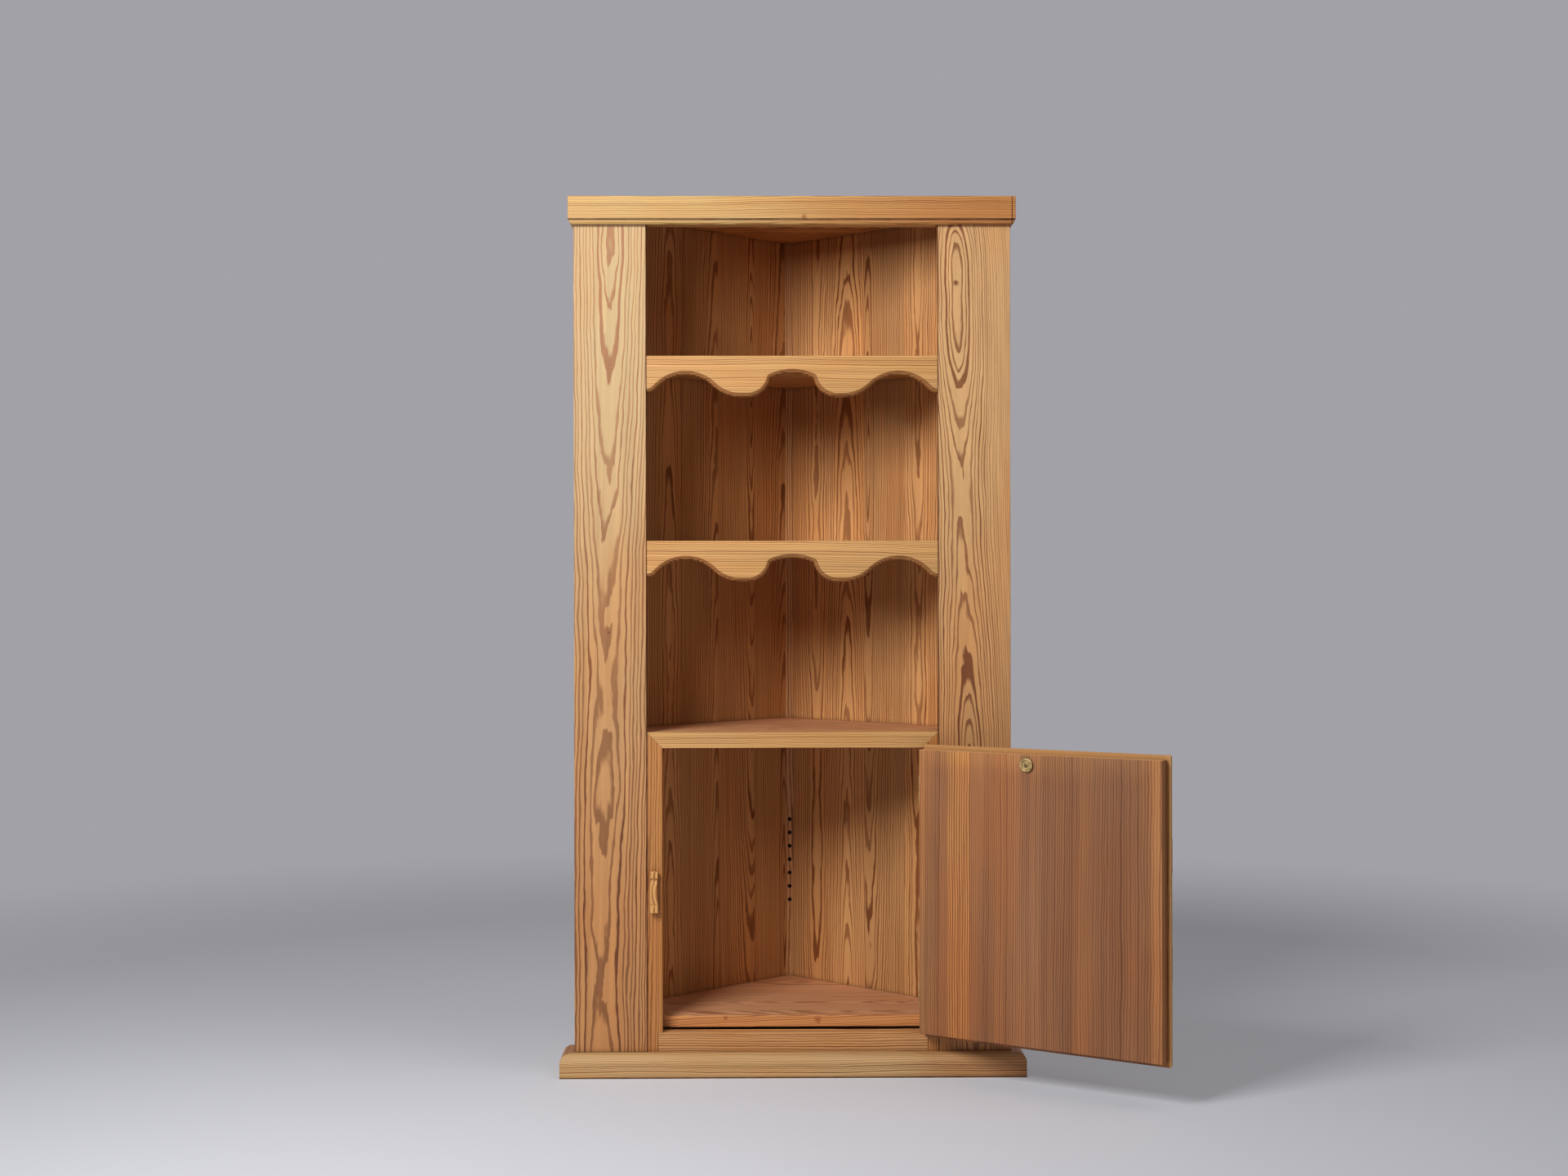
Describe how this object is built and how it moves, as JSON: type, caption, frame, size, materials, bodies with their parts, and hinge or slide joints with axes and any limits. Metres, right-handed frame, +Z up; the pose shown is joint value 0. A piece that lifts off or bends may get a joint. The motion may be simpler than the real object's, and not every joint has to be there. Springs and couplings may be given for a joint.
{
  "type": "corner cabinet",
  "caption": "Free-standing pine corner cabinet: open shelves with scalloped aprons over a cupboard with a lipped door, held by a wooden turn button.",
  "frame": {"origin": "on the floor, at the middle of the front, in the plane of the stiles' faces", "axes": "+X to the viewer's right, +Y from the front back towards the corner of the room, +Z up"},
  "size_m": [1.2636, 0.876, 1.89],
  "materials": {
    "pine": "satin wax on honey-coloured pine",
    "inner_pine": "satin wax on pine, browner",
    "brass": "aged satin brass"
  },
  "bodies": {
    "cabinet": {"left_stile": "pine", "right_stile": "pine", "left_side_return": "inner_pine", "right_side_return": "inner_pine", "left_wall_panel": "inner_pine", "right_wall_panel": "inner_pine", "corner_post": "inner_pine", "top_board": "pine", "header_rail": "pine", "cornice_front": "pine", "cornice_left": "pine", "cornice_right": "pine", "plinth_front": "pine", "plinth_left": "pine", "plinth_right": "pine", "upper_shelf": "inner_pine", "lower_shelf": "inner_pine", "cupboard_top": "inner_pine", "cupboard_floor": "inner_pine", "upper_apron": "pine", "lower_apron": "pine", "frame_top_rail": "pine", "frame_left_member": "pine", "frame_right_member": "pine", "frame_bottom_rail": "pine", "lower_hinge_frame_leaf": "brass", "upper_hinge_frame_leaf": "brass", "lower_hinge_pin": "brass", "upper_hinge_pin": "brass", "hinge_frame_screws": "brass"},
    "door": {"door_panel": "pine", "door_pull": "pine", "pull_dowels": "pine", "catch_plate": "brass", "catch_plate_screw": "brass", "lower_hinge_door_leaf": "brass", "upper_hinge_door_leaf": "brass", "hinge_door_screws": "brass"},
    "turn_button": {"turn_button": "pine", "button_peg": "pine"}
  },
  "joints": [
    {"name": "door_hinge", "type": "hinge", "parent": "cabinet", "child": "door", "pos_m": [0.282, -0.0033, 0.398], "axis": [0, 0, 1], "range_deg": [-146, 29]},
    {"name": "turn_button_pivot", "type": "hinge", "parent": "cabinet", "child": "turn_button", "pos_m": [-0.2985, 0, 0.396], "axis": [0, 1, 0], "continuous": true}
  ]
}
